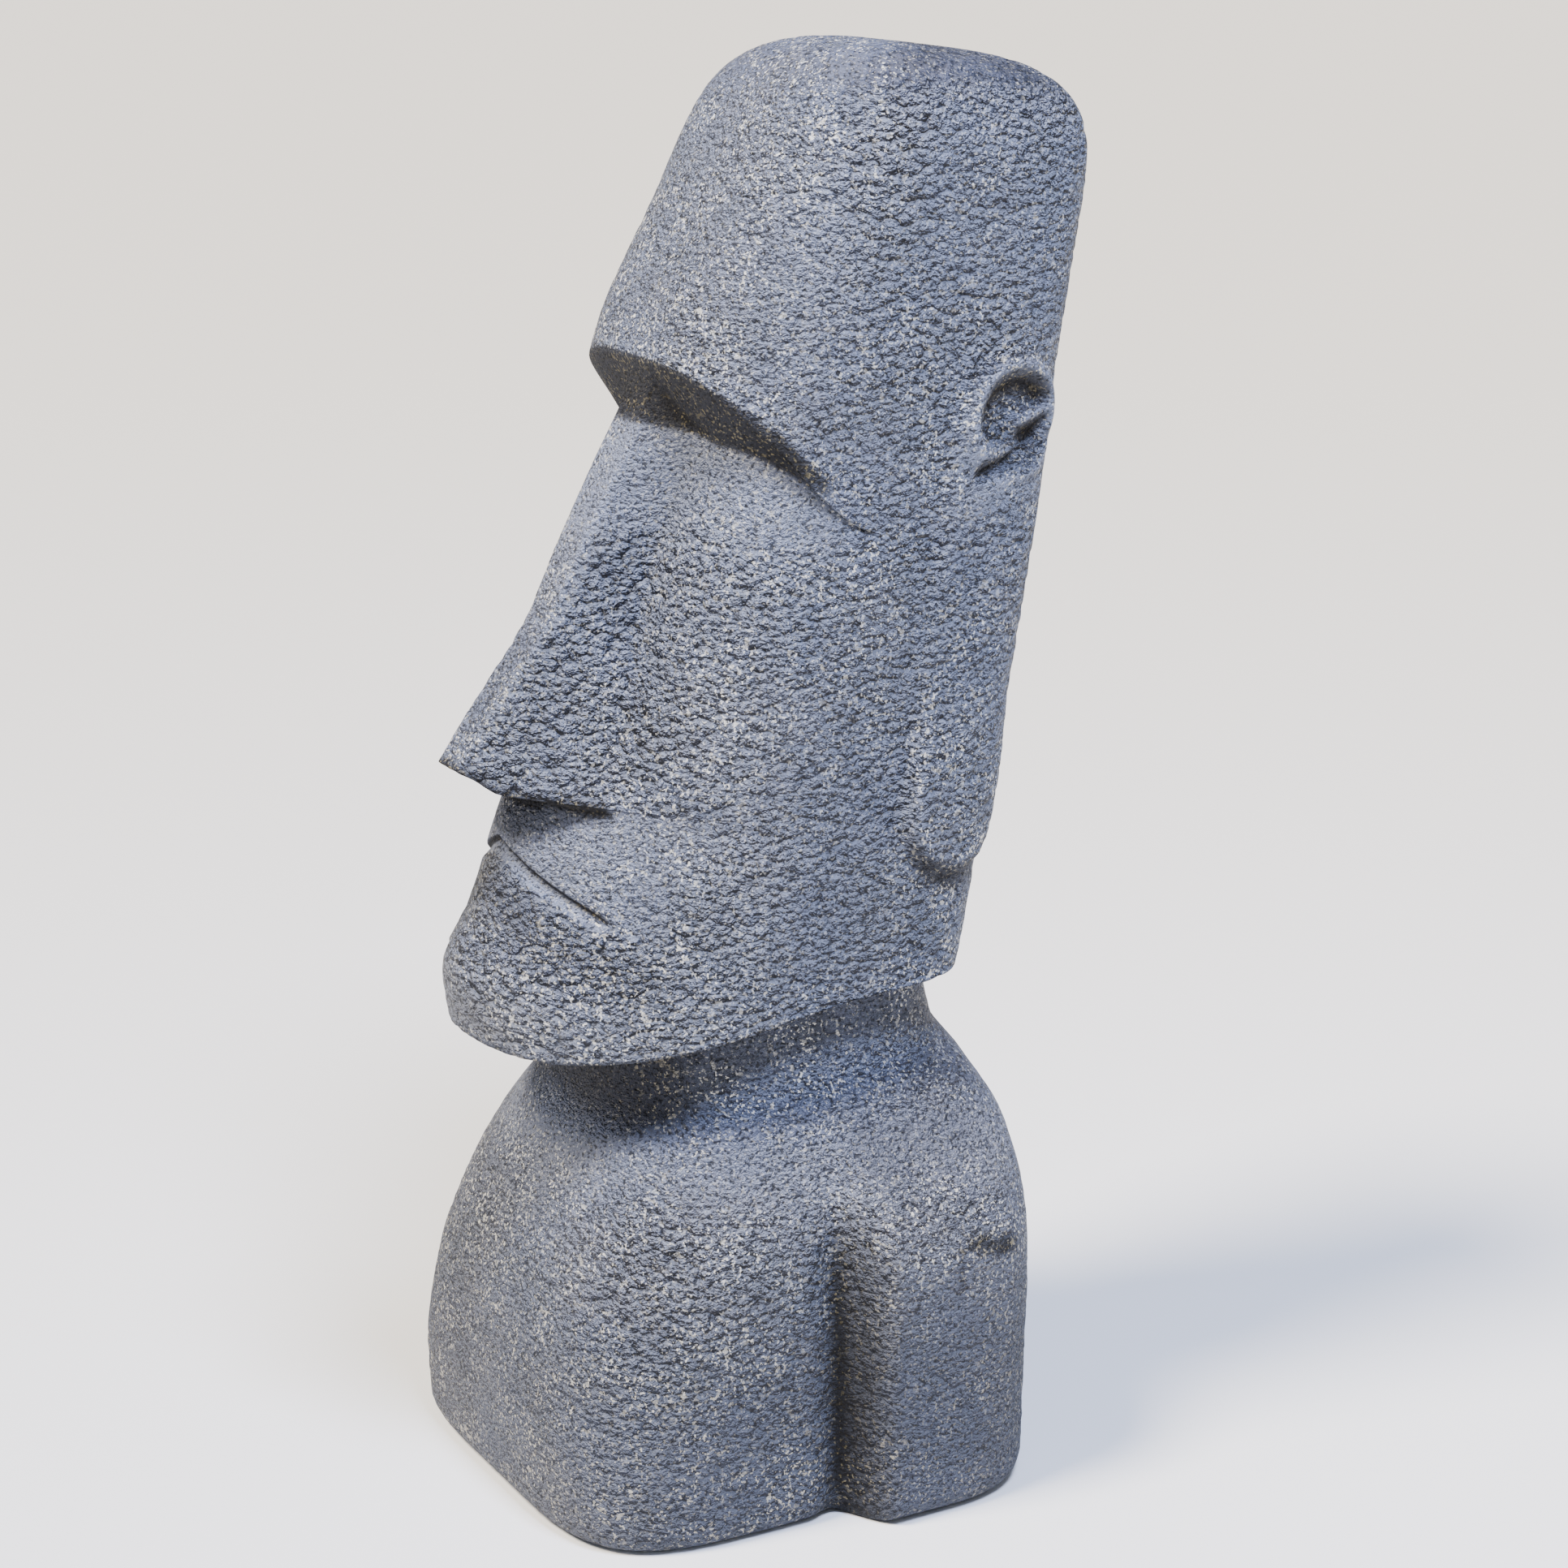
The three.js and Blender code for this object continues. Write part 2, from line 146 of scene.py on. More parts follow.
# Strokes inside and below the rim: two ends, half width, and how far each stands proud.
EAR_STROKES = (
    ((131, 543), (152, 551), 8.0, 10.0),    # upper fold
    ((99, 518), (121, 516), 9.0, 10.0),     # lower fold, in front of the ear's opening
    ((138, 529), (150, 529), 6.0, -4.0),    # opening
    ((93, 499), (127, 513), 3.6, -9.0),     # crease under the lower fold
    ((152, 506), (106, 493), 5.5, 5.0),     # ridge below the crease
    ((106, 493), (94, 474), 5.5, 5.0),
    ((73, 516), (90, 505), 4.0, 4.0),
    ((98, 294), (102, 220), 3.6, -2.5),     # groove scraped down the band
)

# Grain: spacing, share and seed of each size of lump, and of the slow swell under them.
GRAIN_HEIGHT = 2.3              # of the largest lumps
LUMPS = ((17.0, 0.8, 1), (10.5, 1.0, 7))
LUMP_MIDDLE = 0.62              # the cellular noise's middle value
SWELLS = ((95.0, 0.8, 21), (38.0, 0.5, 22))
BEND, BEND_SIZE, FLATTENED = 5.0, 21.0, 1.25    # lumps are bent sideways and flattened

# Wear, painted shade and a darkening towards the foot: heights between which each zone fades in,
# up the head's own axis or from the foot.
SHELL_FROM, EYES_FROM, CROWN_WEAR = (455, 490), (400, 460), (570, 640)
NECK_FROM, SHOULDER_WEAR, LOW_DARKENING = (318, 350), (262, 305), (120, 300)
ARM_FROM = (195, 215)           # x
EAR_INNER_X, ARM_INNER_X = 100, 150

# Smudge on the left arm: y and height of its middle, its fall to each mm of y, the y
# where its ends fade; and the thin run down from it: y, heights where its ends fade.
SMUDGE_MIDDLE, SMUDGE_FALL = (103, 240), 0.27
SMUDGE_ENDS = (92, 104), (150, 164)
RUN_Y, RUN_ENDS = 94, ((192, 200), (236, 244))

# Grid: columns between the pinned angles on one side, and rows between pinned heights.
COLUMNS = (5, 20, 22, 26, 12, 36, 22)
CHEEK, EAR_FRONT, BACK_CORNER = (math.radians(a) for a in (62, 92.5, 140))
NARROW = math.radians(10)
ROUND_ROWS, BUST_ROWS, UNDERSIDE_ROWS, CROWN_ROWS = 7, 78, 12, 44
HEAD_ROWS = (28, 5, 3, 10, 12, 70, 12, 28, 20)


# ---- small helpers ----------------------------------------------------------------

def ease(a, b, x):
    """Smooth step: 0 below a, 1 above b, 3t^2 - 2t^3 between."""
    t = np.clip((x - a) / (b - a), 0, 1)
    return t * t * (3 - 2 * t)


def bump(distance, width):
    """Bell curve: exp(-(distance / width)^2)."""
    return np.exp(-((distance / width) ** 2))


def station(table, column, at):
    """Cubic Hermite through a table's stations, each slope the harmonic mean of its two
    neighbours' slopes, so the curve never swings past a station."""
    xs, ys = table[:, 0], table[:, column]
    slopes = np.diff(ys) / np.diff(xs)
    product = slopes[1:] * slopes[:-1]
    total = np.where(product > 0, slopes[1:] + slopes[:-1], 1)
    inner = np.where(product > 0, 2 * product / total, 0)
    tangents = np.concatenate([slopes[:1], inner, slopes[-1:]])
    x = np.clip(at, xs[0], xs[-1])
    i = np.clip(np.searchsorted(xs, x) - 1, 0, len(xs) - 2)
    run = xs[i + 1] - xs[i]
    t = (x - xs[i]) / run
    return (ys[i] * (1 + 2 * t) * (1 - t) ** 2 + tangents[i] * run * t * (1 - t) ** 2
            + ys[i + 1] * t * t * (3 - 2 * t) + tangents[i + 1] * run * t * t * (t - 1))


def section(half_width, front, back, front_power, back_power, angle):
    """Superellipse |x/w|^p + |y/d|^p = 1 about its middle: returns the middle's y and the
    distance to the skin at each angle, 0 facing forwards."""
    power = np.where(np.cos(angle) > 0, front_power, back_power)
    across = (np.abs(np.sin(angle)) / half_width) ** power
    along = (np.abs(np.cos(angle)) / ((back - front) / 2)) ** power
    return (front + back) / 2, (across + along) ** (-1 / power)


def filleted_max(a, b, width):
    """Larger of two distances, blended by a parabola where they are nearly equal."""
    share = np.clip(0.5 + (a - b) / (2 * width), 0, 1)
    return b * (1 - share) + a * share + width * share * (1 - share)


# ---- the form -----------------------------------------------------------------------

def bust_points(z, angle):
    """Superellipse sections through the bust's stations. The arm pushes the side out
    past a shallow notch, and the lowest edge is inset along a quarter circle."""
    tilt = SHOULDER_FALL * np.cos(angle) * ease(SHOULDER_FROM, SHOULDER_TO, z)
    half_width, chest, back, front_power, back_power = (
        station(BUST, k, z + tilt) for k in range(1, 6))
    middle, reach = section(half_width, chest, back, front_power, back_power, angle)
    foot = np.maximum(BASE_ROUND - z, 0)
    inset = BASE_ROUND - np.sqrt(BASE_ROUND ** 2 - foot ** 2)
    x = reach * np.sin(angle)
    y = middle - reach * np.cos(angle)
    proud = ((ARM_HALF_WIDTH - half_width) * (1 - ease(*ARM_FADE, z))
             * ease(*ARM_FRONT, y) * (1 - ARM_BACK_FALL * ease(*ARM_BACK, y)))
    notch = NOTCH_DEPTH * bump(y - NOTCH_Y, NOTCH_WIDTH) * (1 - ease(SHOULDER_FROM, NOTCH_TOP, z))
    side = ease(0.55, 0.9, np.abs(np.sin(angle)))
    shrink = 1 - inset / reach
    wide = (x + np.sign(x) * (proud - notch) * side) * shrink
    return np.stack(np.broadcast_arrays(wide, middle + (y - middle) * shrink, z), -1)


def jaw_line(angle):
    """Height of the jaw's edge: half a cosine from the front up to the back, raised in a
    bell at the chin."""
    chin = CHIN_RAISED * bump(angle, CHIN_SPREAD)
    return JAW_FRONT + (JAW_BACK - JAW_FRONT) * (1 - np.cos(angle)) / 2 + chin


def brow_line(angle):
    """Height of the brow's edge: level in front, it droops with a power of the sine of
    the angle."""
    return BROW - BROW_DROOP * np.abs(np.sin(angle)) ** BROW_POWER


def brow_slope(angle):
    """Height of the brow's underside, which runs out in a straight taper at its ends."""
    start, end = BROW_TAPER
    return BROW_SLOPE * np.clip((end - np.abs(angle)) / (end - start), 0.12, 1)


def skull(h, angle):
    """Superellipse sections of the head; above the brow the forehead's y takes over."""
    slope = brow_slope(angle)
    above = np.clip((h - brow_line(angle) + slope) / slope, 0, 1)
    face = station(HEAD, 2, h) * (1 - above) + station(FOREHEAD, 1, h) * above
    half_width, back, front_power, back_power = (station(HEAD, k, h) for k in (1, 3, 4, 5))
    return section(half_width, face, back, front_power, back_power, angle)


def nose_edge(angle):
    """Heights of the foot and the top of the nose's underside, which is taller and set
    higher at the tip."""
    tip = 1 - ease(*TIP_SPREAD, np.abs(angle))
    edge = NOSE_LOW + TIP_RAISED * tip
    return edge - NOSE_UNDERSIDE - TIP_UNDERSIDE * tip, edge


def nose_reach(h, angle, middle):
    """Distance from the middle to the nose's wedge, the nearer of the flat ridge and the
    plane from the ridge's edge to the foot on the cheek; 0 away from the nose."""
    height = np.clip(h, NOSE_LOW, NOSE_TOP)
    ridge, half, foot_x, foot_y = (station(NOSE, k, height) for k in range(1, 5))
    across, ahead = np.abs(np.sin(angle)), np.cos(angle)
    front = (middle - ridge) / np.maximum(ahead, 0.05)
    turn = across * (foot_y - ridge) + ahead * (foot_x - half)
    plane = half * (foot_y - ridge) + (middle - ridge) * (foot_x - half)
    reach = np.minimum(front, plane / np.maximum(turn, 1e-6))
    return np.where((ahead > 0) & (across * reach < foot_x + 40), reach, 0)


def mouth_line(angle):
    """Height of the mouth's line: it droops with a power of the distance from the middle."""
    _, reach = skull(np.full_like(angle, MOUTH), angle)
    x = np.minimum(np.abs(reach * np.sin(angle)), MOUTH_LINE_END)
    return MOUTH - MOUTH_DROOP * (x / MOUTH_HALF_WIDTH) ** MOUTH_POWER


def mouth_cut(x, h, angle):
    """Depth of the mouth's groove: a V with a steep upper wall and a wide lower bevel,
    shallower towards the corners."""
    d = h - mouth_line(angle)
    vee = np.where(d > 0, 1 - d / LIP_ABOVE, 1 + d / LIP_BELOW)
    end = 1 - ease(MOUTH_HALF_WIDTH - 16, MOUTH_HALF_WIDTH + 4, np.abs(x))
    return np.where(np.cos(angle) > 0, MOUTH_DEPTH * np.clip(vee, 0, 1) * end, 0)


def stroke(y, h, start, end):
    """Distance of each place from the straight line between two places, and how far
    along the line its nearest point lies, 0 to 1."""
    run_y, run_h = end[0] - start[0], end[1] - start[1]
    along = ((y - start[0]) * run_y + (h - start[1]) * run_h) / (run_y ** 2 + run_h ** 2)
    t = np.clip(along, 0, 1)
    return np.hypot(y - start[0] - t * run_y, h - start[1] - t * run_h), t


def ear_relief(y, h):
    """How proud the ear is: a flat band of even width from the lobe to the ear's end, a
    bell-shaped rim round most of a circle, a dished hollow in it, and bell-shaped strokes
    for the folds and creases."""
    off, t = stroke(y, h, LOBE, EAR_END)
    raised = EAR_RAISED + (EAR_RAISED_HIGH - EAR_RAISED) * ease(0.02, 0.35, t)
    relief = raised * (1 - ease(EAR_HALF_WIDTH - EAR_EDGE, EAR_HALF_WIDTH + EAR_EDGE, off))
    dy, dh = y - RIM_MIDDLE[0], h - RIM_MIDDLE[1]
    out = np.hypot(dy, dh)
    turn = np.mod(np.degrees(np.arctan2(dh, -dy)) + 60, 360)    # 60 forwards, 150 up
    opened = ease(*RIM_TURN[:2], turn) * (1 - ease(*RIM_TURN[2:], turn))
    relief = relief + RIM_RAISED * bump(out - RIM_RADIUS, RIM_WIDTH) * opened
    deep = np.hypot(y - HOLLOW_MIDDLE[0], h - HOLLOW_MIDDLE[1])
    sides = HOLLOW_RADIUS - HOLLOW_EDGE, HOLLOW_RADIUS + HOLLOW_EDGE
    relief = relief - HOLLOW_DEPTH * (1 - ease(*sides, deep))
    for start, end, width, proud in EAR_STROKES:
        relief = relief + proud * bump(stroke(y, h, start, end)[0], width)
    return relief


def ear_folds(y, h):
    """How much of a fold or ridge each place of the ear is, 0 to 1."""
    return np.max([bump(stroke(y, h, start, end)[0], width)
                   for start, end, width, proud in EAR_STROKES if proud > 0], axis=0)


def head_points(h, angle, inward=1.0):
    """Skull and nose merged with a fillet, the mouth cut in and the ear raised sideways,
    then the whole head turned back about its pivot by the lean."""
    middle, reach = skull(h, angle)
    nose = nose_reach(h, angle, middle)
    grown = ease(*nose_edge(angle), h)
    merged = reach + (filleted_max(reach, nose, NOSE_FILLET) - reach) * grown
    skin = np.where((nose > 0) & (h < brow_line(angle)), merged, reach)
    skin = (skin - mouth_cut(skin * np.sin(angle), h, angle)) * inward
    x, y = skin * np.sin(angle), middle - skin * np.cos(angle)
    x = x + np.sign(x) * ear_relief(y, h) * ease(60, 130, np.abs(x))
    return lean_back(x, y, h)


def lean_back(x, y, h):
    """Turns the head's own x, y and height about the pivot into the statue's frame."""
    back = y * math.cos(LEAN) + h * math.sin(LEAN)
    up = PIVOT_HEIGHT + h * math.cos(LEAN) - y * math.sin(LEAN)
    return np.stack(np.broadcast_arrays(x, back, up), -1)


# ---- the grid -----------------------------------------------------------------------

def row_angles(pins):
    """One row's angles all the way round, evenly spaced between the pinned angles; the
    statue's right side mirrors its left."""
    steps = [np.linspace(pins[k], pins[k + 1], count, endpoint=False)
             for k, count in enumerate(COLUMNS)]
    left = np.concatenate(steps)
    return np.concatenate([left, [math.pi], -left[:0:-1]])


def head_angles(h):
    """Columns pinned to the nose's ridge and foot, the cheek and the ear."""
    height = np.clip(h, NOSE_LOW, NOSE_TOP)
    middle, _ = skull(np.array([height]), np.array([0.0]))
    ridge = math.atan2(station(NOSE, 2, height), middle[0] - station(NOSE, 1, height))
    foot = math.atan2(station(NOSE, 3, height), middle[0] - station(NOSE, 4, height))
    return row_angles((0, ridge, foot, CHEEK, EAR_FRONT, EAR_FRONT + NARROW,
                       BACK_CORNER, math.pi))


def bust_angles(z):
    """The same, but two of the pins follow the arm's front face."""
    half_width = station(BUST, 1, z)
    middle = (station(BUST, 2, z) + station(BUST, 3, z)) / 2
    first, last = (math.pi / 2 + math.atan2(y - middle, half_width) for y in ARM_FRONT)
    low = head_angles(NOSE_LOW)
    ridge, foot = low[COLUMNS[0]], low[COLUMNS[0] + COLUMNS[1]]
    return row_angles((0, ridge, foot, CHEEK, first, last, BACK_CORNER, math.pi))


def head_pins(angle):
    """Heights of the pinned rows at each angle, from the jaw's edge up to the crown."""
    spread = 20 * ease(0.6, 1.1, np.abs(angle))
    under = brow_slope(angle) + 0.8 * BROW_SLOPE * ease(1.15, 1.6, np.abs(angle))
    mouth, brow = mouth_line(angle), brow_line(angle)
    flat = np.zeros_like(angle)
    return np.stack([
        jaw_line(angle), mouth - LIP_BELOW, mouth, mouth + LIP_ABOVE,
        nose_edge(angle)[0] - spread, nose_edge(angle)[1] + spread,
        brow - under, brow, 610 + flat, CROWN_FROM + flat])


def head_row(k, share):
    """One row of the head, this share of the way between two pinned rows."""
    front = head_pins(np.array([0.0]))[:, 0]
    angle = head_angles(front[k] + (front[k + 1] - front[k]) * share)
    own = head_pins(angle)
    return head_points(own[k] + (own[k + 1] - own[k]) * share, angle)


def statue_grid():
    """All rows from the underside to the crown, stacked, and the number of the first
    row of the head."""
    rows = []
    for turn in np.linspace(0, math.pi / 2, ROUND_ROWS, endpoint=False):
        angle = bust_angles(0)
        rows.append(bust_points(np.full_like(angle, BASE_ROUND * (1 - math.cos(turn))), angle))
    for share in np.linspace(0, 1, BUST_ROWS + 1):
        angle = bust_angles(BASE_ROUND + 340 * share)
        top = head_points(jaw_line(angle), angle)[:, 2] + UNDERSIDE_DROP
        rows.append(bust_points(BASE_ROUND + (top - BASE_ROUND) * share, angle))
    neck, jaw = rows[-1], head_row(0, 0)
    for share in np.linspace(0, 1, UNDERSIDE_ROWS, endpoint=False)[1:]:
        rows.append(neck + (jaw - neck) * share)
    first_head_row = len(rows)
    for k, count in enumerate(HEAD_ROWS):
        rows += [head_row(k, i / count) for i in range(count)]
    for turn in np.linspace(0, math.pi / 2, CROWN_ROWS, endpoint=False):
        power = CROWN_SQUARENESS
        norm = (math.cos(turn) ** power + math.sin(turn) ** power) ** (1 / power)
        h = CROWN_FROM + (CROWN_TOP - CROWN_FROM) * math.sin(turn) / norm
        angle = head_angles(h)
        rows.append(head_points(np.full_like(angle, h), angle, math.cos(turn) / norm))
    return np.stack(rows), first_head_row


def soften(field, passes, held=0, strength=0.5):
    """Moves each grid value towards the mean of its four neighbours, round the columns
    and up the rows; the lowest rows and the last one are held."""
    field = field.copy()
    for _ in range(passes):
        beside = (np.roll(field, 1, 1) + np.roll(field, -1, 1))[1:-1]
        mean = (beside + field[2:] + field[:-2]) / 4
        moved = field[1:-1] + (mean - field[1:-1]) * strength
        keep = max(held - 1, 0)
        field[1 + keep:-1] = moved[keep:]
    return field


def outward(points):
    """Unit normals of the grid: the cross product of its steps round and up."""
    around = np.roll(points, -1, 1) - np.roll(points, 1, 1)
    normal = np.cross(around, np.gradient(points, axis=0))
    return normal / (np.linalg.norm(normal, axis=-1, keepdims=True) + 1e-9)


# ---- grain of the stone ---------------------------------------------------------------

def lattice_random(cell, seed):
    """A value from 0 to 1 for each whole lattice point, by multiply-and-xor hashing."""
    c = (cell + 4096).astype(np.uint64)
    mixed = (c[..., 0] * np.uint64(374761393) + c[..., 1] * np.uint64(668265263)
             + c[..., 2] * np.uint64(1442695041) + np.uint64(seed * 974634777))
    mixed &= np.uint64(0xFFFFFFFF)
    mixed = ((mixed ^ (mixed >> np.uint64(13))) * np.uint64(1274126177)) & np.uint64(0xFFFFFFFF)
    mixed ^= mixed >> np.uint64(16)
    return (mixed & np.uint64(0xFFFFFF)).astype(float) / 0xFFFFFF


def swell(points, size, seed):
    """Value noise from -1 to 1: lattice values this far apart, blended by smooth steps."""
    place = points / size
    cell = np.floor(place).astype(np.int64)
    f = place - cell
    f = f * f * (3 - 2 * f)
    total = np.zeros(points.shape[:-1])
    for corner in np.ndindex(2, 2, 2):
        weight = np.prod(np.where(np.array(corner) == 1, f, 1 - f), -1)
        total += weight * lattice_random(cell + corner, seed)
    return total * 2 - 1


def lumps(points, size, seed):
    """Cellular noise from 0 to 1: one minus the squared distance to the nearest of the
    random points, one to a lattice cell, so lumps meet in creases."""
    place = points / size
    cell = np.floor(place).astype(np.int64)
    nearest = np.full(points.shape[:-1], 9.0)
    for corner in np.ndindex(3, 3, 3):
        home = cell + corner - 1
        spot = home + np.stack([lattice_random(home, seed + k) for k in range(3)], -1)
        nearest = np.minimum(nearest, np.sum((place - spot) ** 2, -1))
    return 1 - np.minimum(nearest, 1)


def head_place(points):
    """Each point's own y, height and angle in the head's frame, before the lean."""
    x, y, z = points[..., 0], points[..., 1], points[..., 2]
    own_y = y * math.cos(LEAN) - (z - PIVOT_HEIGHT) * math.sin(LEAN)
    own_h = y * math.sin(LEAN) + (z - PIVOT_HEIGHT) * math.cos(LEAN)
    middle, _ = skull(own_h, np.zeros_like(own_h))
    return own_y, own_h, np.arctan2(x, middle - own_y)


def wear_and_painted_light_maps(form, normals, first_head_row):
    """Four maps from 0 to 1: how coarse the grain is; how dark the colour is made, as painted
    shade in hollows, under overhangs and on faces turned down, and as brown grime and stains;
    where the cast is rubbed smooth and pale, with painted highlights on convex edges, the
    ear's folds and the mouth's lower bevel; and where the cream wash caught."""
    x, y, z = form[..., 0], form[..., 1], form[..., 2]
    own_y, own_h, angle = head_place(form)
    head = np.zeros(z.shape)
    head[first_head_row:] = 1
    ahead = ease(0.35, 0.8, np.cos(angle))
    down = ease(0.1, 0.6, -normals[..., 2])
    brow = brow_line(angle)
    slope = brow_slope(angle)
    in_brow = (head * (np.cos(angle) > 0) * (own_h < brow + 1) * (own_h > brow - slope - 1)
               * ease(0.12, 0.25, slope / BROW_SLOPE))
    foot, edge = nose_edge(angle)
    in_nose = (head * (np.abs(x) < 88) * (np.hypot(x, own_y - 20) > 200) * ahead
               * (own_h > foot - 5) * (1 - ease(edge, edge + 9, own_h)))
    line = own_h - mouth_line(angle)
    in_mouth = head * (mouth_cut(x, own_h, angle) > 0.4)
    beside = head * (np.abs(x) > EAR_INNER_X)
    relief = ear_relief(own_y, own_h)
    ear = beside * ease(0.5, 4, relief)
    shell = ear * ease(*SHELL_FROM, own_h)
    folds = beside * ear_folds(own_y, own_h)
    on_nose = head * (own_h > NOSE_LOW) * (own_h < NOSE_TOP) * ahead
    ridge = on_nose * (np.abs(x) < station(NOSE, 2, np.clip(own_h, NOSE_LOW, NOSE_TOP)) + 2)
    forehead = head * ahead * ease(0, 12, own_h - brow)
    eyes = head * ease(*EYES_FROM, own_h) * (own_h < brow) * ease(0.1, 0.5, np.cos(angle))
    upper_lip = head * ease(-2, 0, line) * (own_h < NOSE_LOW) * ahead
    neck = (1 - head) * ease(*NECK_FROM, z)
    shoulder = (1 - head) * ease(*SHOULDER_WEAR, z)
    arm = (1 - head) * ease(*ARM_FROM, np.abs(x)) * ease(10, 35, y)
    notch = (1 - head) * bump(y - 8, 20) * (np.abs(x) > ARM_INNER_X) * (1 - ease(230, 290, z))

    finer = (0.5 * forehead + 0.6 * ridge + 0.75 * eyes + 0.6 * upper_lip + 0.15 * ear
             + 0.6 * shell + 0.8 * folds + 0.7 * in_brow + 0.9 * in_mouth + 0.4 * shoulder
             + 0.3 * down * head + (1 - head) * (0.2 + 0.3 * ahead + 0.35 * arm))
    worn = 0.3 * swell(form, 75, 63)
    rough = soften(np.clip(1 - finer + worn, 0.1, 1), 2)

    hollow = np.sum((soften(form, 24, held=ROUND_ROWS) - form) * normals, -1)
    in_ear = beside * ease(-3, 3, -relief) * (1 - folds) * in_rim(own_y, own_h)
    low = 1 - ease(*LOW_DARKENING, z)
    # Painted shade in the hollows, under the brow and the nose, on the mouth's upper wall, on
    # faces turned down, on the neck's front under the chin, inside the ear's rim and in the arm's
    # notch; darker towards the bottom and in a band below the lower lip; and real stains: a
    # random tone on the head, the arm and its smudge.
    shade_and_grime = (ease(0.8, 6, hollow) * 0.55 + 0.92 * in_brow + 0.9 * in_nose
             + in_mouth * (line > -1.5) + 0.7 * down * (1 - in_brow) * ease(20, 60, z)
             + 0.12 * head * ease(0.1, 0.7, swell(form, 100, 64))
             + 0.7 * neck * ease(0.1, 0.55, np.cos(angle)) + 0.38 * low + 0.06 * arm
             + 0.25 * in_ear + 0.5 * notch + arm_stain(form)
             + 0.4 * head * ahead * bump(line + 36, 24) * (line < -LIP_BELOW))
    # Paler where the cast is rubbed, and painted highlights on the mouth's lower bevel, on the
    # ear's folds and along convex edges such as the jaw's rim.
    rubbed_and_highlit = (in_mouth * (line < -1.5) + 0.5 * folds + 0.3 * shell * (1 - in_ear)
              + 0.6 * head * ease(1.2, 4.5, -hollow) + 0.35 * forehead * ease(*CROWN_WEAR, own_h)
              + 0.35 * (eyes + ridge + upper_lip) + 0.3 * shoulder * (1 - neck))
    wash = (0.32 + 0.45 * swell(form, 130, 61) + 0.35 * swell(form, 55, 62)
            + 0.35 * ear + 0.25 * ridge + 0.3 * ease(1.0, 4.0, -hollow)
            + (1 - head) * (0.3 - 0.5 * shoulder) + 0.3 * neck - 0.1 * eyes - 0.1 * upper_lip
            + 0.3 * head * (1 - ease(60, 150, own_h)) + 0.6 * forehead
            + 0.4 * in_brow)
    return (rough, soften(np.clip(shade_and_grime, 0, 1), 1), soften(np.clip(rubbed_and_highlit, 0, 1), 1),
            np.clip(wash, 0, 1))


def in_rim(y, h):
    """1 within the ear's rim, 0 outside it."""
    return np.hypot(y - RIM_MIDDLE[0], h - RIM_MIDDLE[1]) < RIM_RADIUS + 8


def arm_stain(form):
    """A short dark smudge across the statue's left arm, and a thin dark run down from it."""
    x, y, z = form[..., 0], form[..., 1], form[..., 2]
    middle_y, middle_z = SMUDGE_MIDDLE
    (front, back), (low, high) = SMUDGE_ENDS, RUN_ENDS
    off = np.abs(z - middle_z + SMUDGE_FALL * (y - middle_y))
    smudge = (1 - ease(6, 11, off)) * ease(*front, y)
    smudge = smudge * (1 - ease(*back, y)) * (0.75 + 0.5 * swell(form, 14, 71))
    run = (1 - ease(0.8, 3.2, np.abs(y - RUN_Y))) * ease(*low, z) * (1 - ease(*high, z))
    return 0.75 * (x > ARM_INNER_X) * np.maximum(smudge, 0.8 * run)


def stone_skin():
    """The slightly softened form with the grain pushed along its normals, and its maps.
    The grain is the sum of two sizes of bent, flattened lumps and two slow swells."""
    form, first_head_row = statue_grid()
    form = soften(form, 1, held=ROUND_ROWS)
    normals = outward(form)
    rough, shade_and_grime, rubbed_and_highlit, wash = wear_and_painted_light_maps(form, normals, first_head_row)
    bent = form + BEND * np.stack([swell(form, BEND_SIZE, 50 + k) for k in range(3)], -1)
    bent[..., 2] *= FLATTENED
    grain = sum(share * (lumps(bent, size, seed) - LUMP_MIDDLE) for size, share, seed in LUMPS)
    wander = sum(share * swell(form, size, seed) for size, share, seed in SWELLS)
    height = grain * GRAIN_HEIGHT * rough + wander
    edge = np.ones(form.shape[0])
    edge[:ROUND_ROWS] = np.linspace(0, 1, ROUND_ROWS) ** 2
    offset = np.minimum(height - SKIN_INSET, -SKIN_CLEARANCE) * edge[:, None]
    skin = form + normals * offset[..., None]
    return skin, (("rough", rough), ("shade_and_grime", shade_and_grime), ("rubbed_and_highlit", rubbed_and_highlit), ("wash", wash))


# ---- mesh ------------------------------------------------------------------------------

